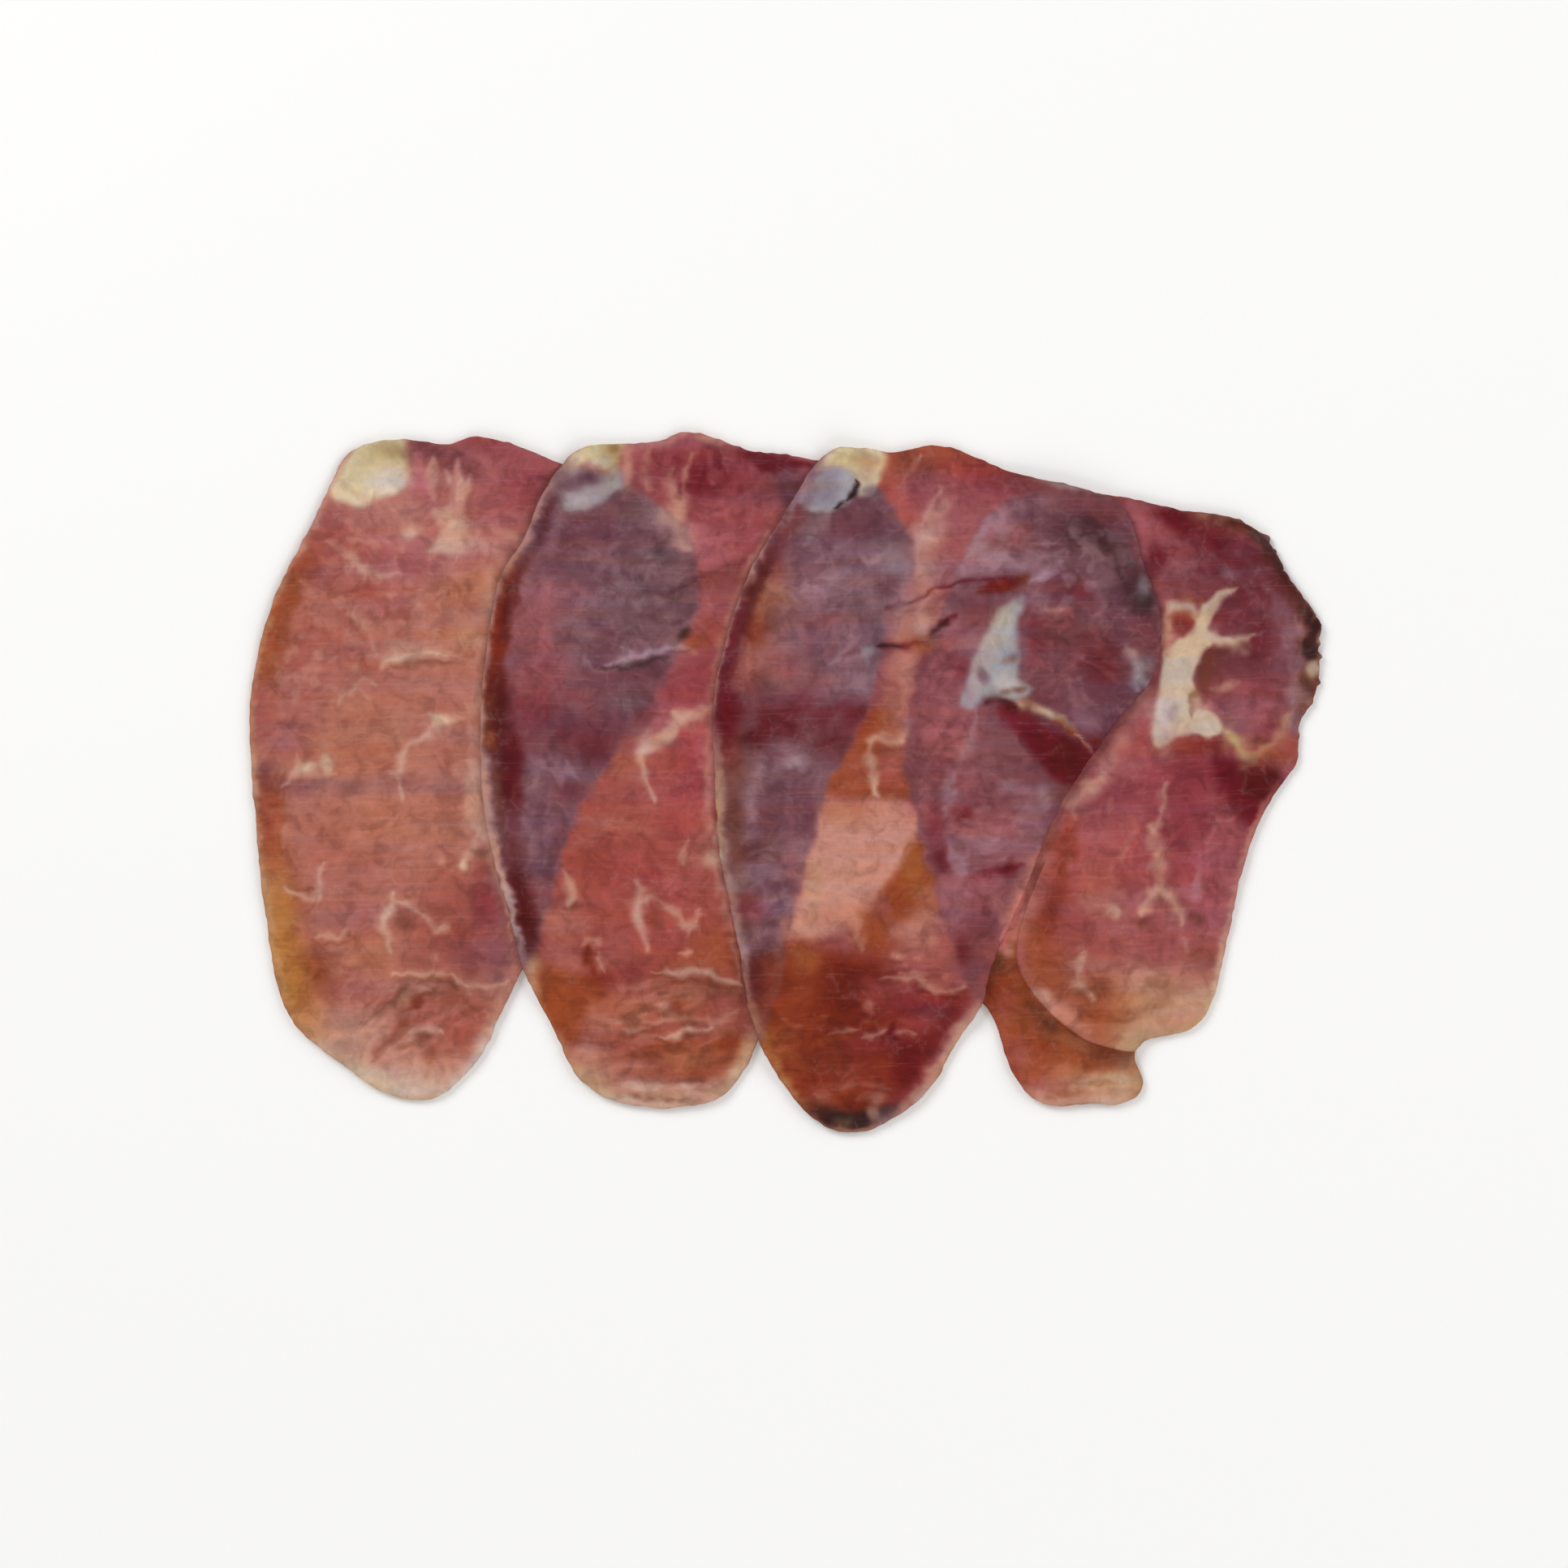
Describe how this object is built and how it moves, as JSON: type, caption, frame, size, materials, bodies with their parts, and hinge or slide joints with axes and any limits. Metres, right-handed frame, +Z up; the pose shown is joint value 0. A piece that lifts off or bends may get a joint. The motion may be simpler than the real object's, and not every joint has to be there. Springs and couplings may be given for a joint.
{
  "type": "lamb prosciutto slices",
  "caption": "Thin slices of dry-cured lamb leg laid in a lapping fan, with cream fat caps at the heads, dark red muscle, fine fat seams and a tucked fold at one foot.",
  "frame": {"origin": "on the surface that the slices lie on, under the middle of their box", "axes": "+X along the fan, from the slice that lies lowest at the left to the tucked slice at the right; +Y towards the fat caps at the heads; +Z up, through the thin way of the slices"},
  "size_m": [0.2122, 0.1386, 0.0032],
  "materials": {
    "cured_meat_salmon": "moist, semi-gloss",
    "cured_meat_red": "moist, semi-gloss",
    "cured_meat_brown": "moist, semi-gloss",
    "cured_meat_rose": "moist, semi-gloss"
  },
  "bodies": {
    "root": {"slice_1": "cured_meat_salmon", "slice_2": "cured_meat_red", "slice_3": "cured_meat_brown", "slice_4": "cured_meat_rose"}
  },
  "joints": []
}
